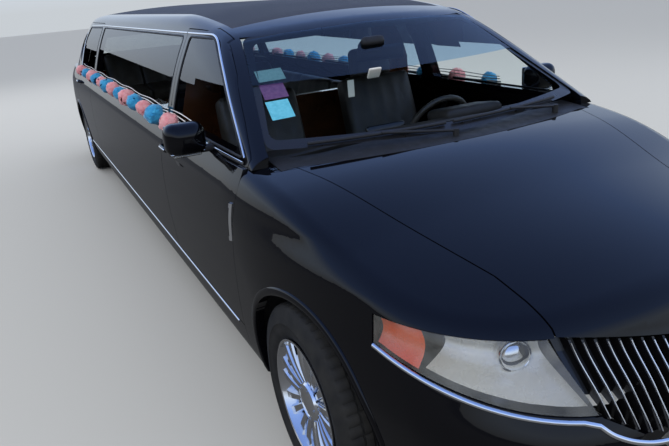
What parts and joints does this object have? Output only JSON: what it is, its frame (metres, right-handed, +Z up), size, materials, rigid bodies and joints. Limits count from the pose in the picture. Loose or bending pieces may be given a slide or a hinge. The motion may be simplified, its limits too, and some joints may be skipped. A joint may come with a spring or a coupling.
{
  "type": "stretch limousine",
  "caption": "Black stretched luxury crossover limousine with opening doors, hood and liftgate, steered front wheels and a long passenger lounge.",
  "frame": {"origin": "middle of the car's box in plan, on the ground", "axes": "+Z up, nose towards -Y, driver's side at +X"},
  "size_m": [2.16, 8.3181, 1.7158],
  "materials": {
    "gloss_black": "high gloss clearcoat",
    "vinyl_roof": "matt grained vinyl",
    "chrome": "polished",
    "bright_rim": "polished clad",
    "tyre": "matt rubber",
    "black_plastic": "matt moulded",
    "tinted_glass": "dark tint",
    "clear_glass": "clear",
    "lamp_lens": "clear moulded",
    "red_lens": "gloss",
    "chassis_black": "satin",
    "steel": "satin",
    "leather": "grained",
    "wood": "lacquered",
    "cast_metal": "machined"
  },
  "bodies": {
    "root": {"chassis_rails": "chassis_black", "floor_pan": "chassis_black", "rear_floor": "chassis_black", "wheel_liners": "black_plastic", "body_side_left": "gloss_black", "body_side_right": "gloss_black", "roof": "vinyl_roof", "roof_header": "gloss_black", "side_frame_left": "gloss_black", "side_frame_right": "gloss_black", "front_wings": "gloss_black", "scuttle": "black_plastic", "front_bumper": "gloss_black", "grille": "chrome", "headlamps": "lamp_lens", "rear_bumper": "gloss_black", "tail_lamps": "red_lens", "windscreen": "clear_glass", "fixed_side_glass": "tinted_glass", "wipers": "black_plastic", "front_seats": "leather", "dashboard": "black_plastic", "partition": "wood", "lounge_seats": "leather", "bar_cabinet": "wood", "engine": "cast_metal", "fuel_tank": "black_plastic", "exhaust": "steel", "front_suspension": "chassis_black", "rear_suspension": "chassis_black"},
    "hood": {"hood": "gloss_black"},
    "front_door_left": {"front_door_left": "gloss_black", "front_glass_left": "tinted_glass", "mirror_left": "gloss_black"},
    "rear_door_left": {"rear_door_left": "gloss_black", "rear_glass_left": "tinted_glass"},
    "front_door_right": {"front_door_right": "gloss_black", "front_glass_right": "tinted_glass", "mirror_right": "gloss_black"},
    "rear_door_right": {"rear_door_right": "gloss_black", "rear_glass_right": "tinted_glass"},
    "liftgate": {"liftgate": "gloss_black", "liftgate_lamp": "red_lens", "liftgate_glass": "tinted_glass"},
    "knuckle_left": {"knuckle_left": "cast_metal"},
    "knuckle_right": {"knuckle_right": "cast_metal"},
    "wheel_front_left": {"tyre_front_left": "tyre", "rim_front_left": "bright_rim"},
    "wheel_front_right": {"tyre_front_right": "tyre", "rim_front_right": "bright_rim"},
    "wheel_rear_left": {"tyre_rear_left": "tyre", "rim_rear_left": "bright_rim"},
    "wheel_rear_right": {"tyre_rear_right": "tyre", "rim_rear_right": "bright_rim"},
    "steering_wheel": {"steering_wheel": "leather"}
  },
  "joints": [
    {"name": "hood_hinge", "type": "hinge", "parent": "root", "child": "hood", "pos_m": [0, -2.8225, 1.143], "axis": [-1, 0, 0], "range_deg": [0, 50]},
    {"name": "front_door_left_hinge", "type": "hinge", "parent": "root", "child": "front_door_left", "pos_m": [0.966, -2.7065, 0.7], "axis": [0, 0, -1], "range_deg": [0, 65]},
    {"name": "rear_door_left_hinge", "type": "hinge", "parent": "root", "child": "rear_door_left", "pos_m": [0.966, 1.6015, 0.7], "axis": [0, 0, -1], "range_deg": [0, 68]},
    {"name": "front_door_right_hinge", "type": "hinge", "parent": "root", "child": "front_door_right", "pos_m": [-0.966, -2.7065, 0.7], "axis": [0, 0, 1], "range_deg": [0, 65]},
    {"name": "rear_door_right_hinge", "type": "hinge", "parent": "root", "child": "rear_door_right", "pos_m": [-0.966, 1.6015, 0.7], "axis": [0, 0, 1], "range_deg": [0, 68]},
    {"name": "liftgate_hinge", "type": "hinge", "parent": "root", "child": "liftgate", "pos_m": [0, 3.5315, 1.63], "axis": [1, 0, 0], "range_deg": [0, 80]},
    {"name": "steer_left", "type": "hinge", "parent": "root", "child": "knuckle_left", "pos_m": [0.75, -3.1755, 0.37], "axis": [0, 0, 1], "range_deg": [-33, 33]},
    {"name": "steer_right", "type": "hinge", "parent": "root", "child": "knuckle_right", "pos_m": [-0.75, -3.1755, 0.37], "axis": [0, 0, 1], "range_deg": [-33, 33]},
    {"name": "steering_wheel_turn", "type": "hinge", "parent": "root", "child": "steering_wheel", "pos_m": [0.39, -2.1705, 1.01], "axis": [0, 0.9063, 0.4226], "range_deg": [-528, 528]},
    {"name": "spin_front_left", "type": "hinge", "parent": "knuckle_left", "child": "wheel_front_left", "pos_m": [0.822, -3.1755, 0.37], "axis": [1, 0, 0], "continuous": true},
    {"name": "spin_front_right", "type": "hinge", "parent": "knuckle_right", "child": "wheel_front_right", "pos_m": [-0.822, -3.1755, 0.37], "axis": [1, 0, 0], "continuous": true},
    {"name": "spin_rear_left", "type": "hinge", "parent": "root", "child": "wheel_rear_left", "pos_m": [0.822, 2.8675, 0.37], "axis": [1, 0, 0], "continuous": true},
    {"name": "spin_rear_right", "type": "hinge", "parent": "root", "child": "wheel_rear_right", "pos_m": [-0.822, 2.8675, 0.37], "axis": [1, 0, 0], "continuous": true}
  ],
  "couplings": [
    {"joint": "steer_right", "follows": "steer_left", "ratio": 1},
    {"joint": "steering_wheel_turn", "follows": "steer_left", "ratio": 16}
  ]
}
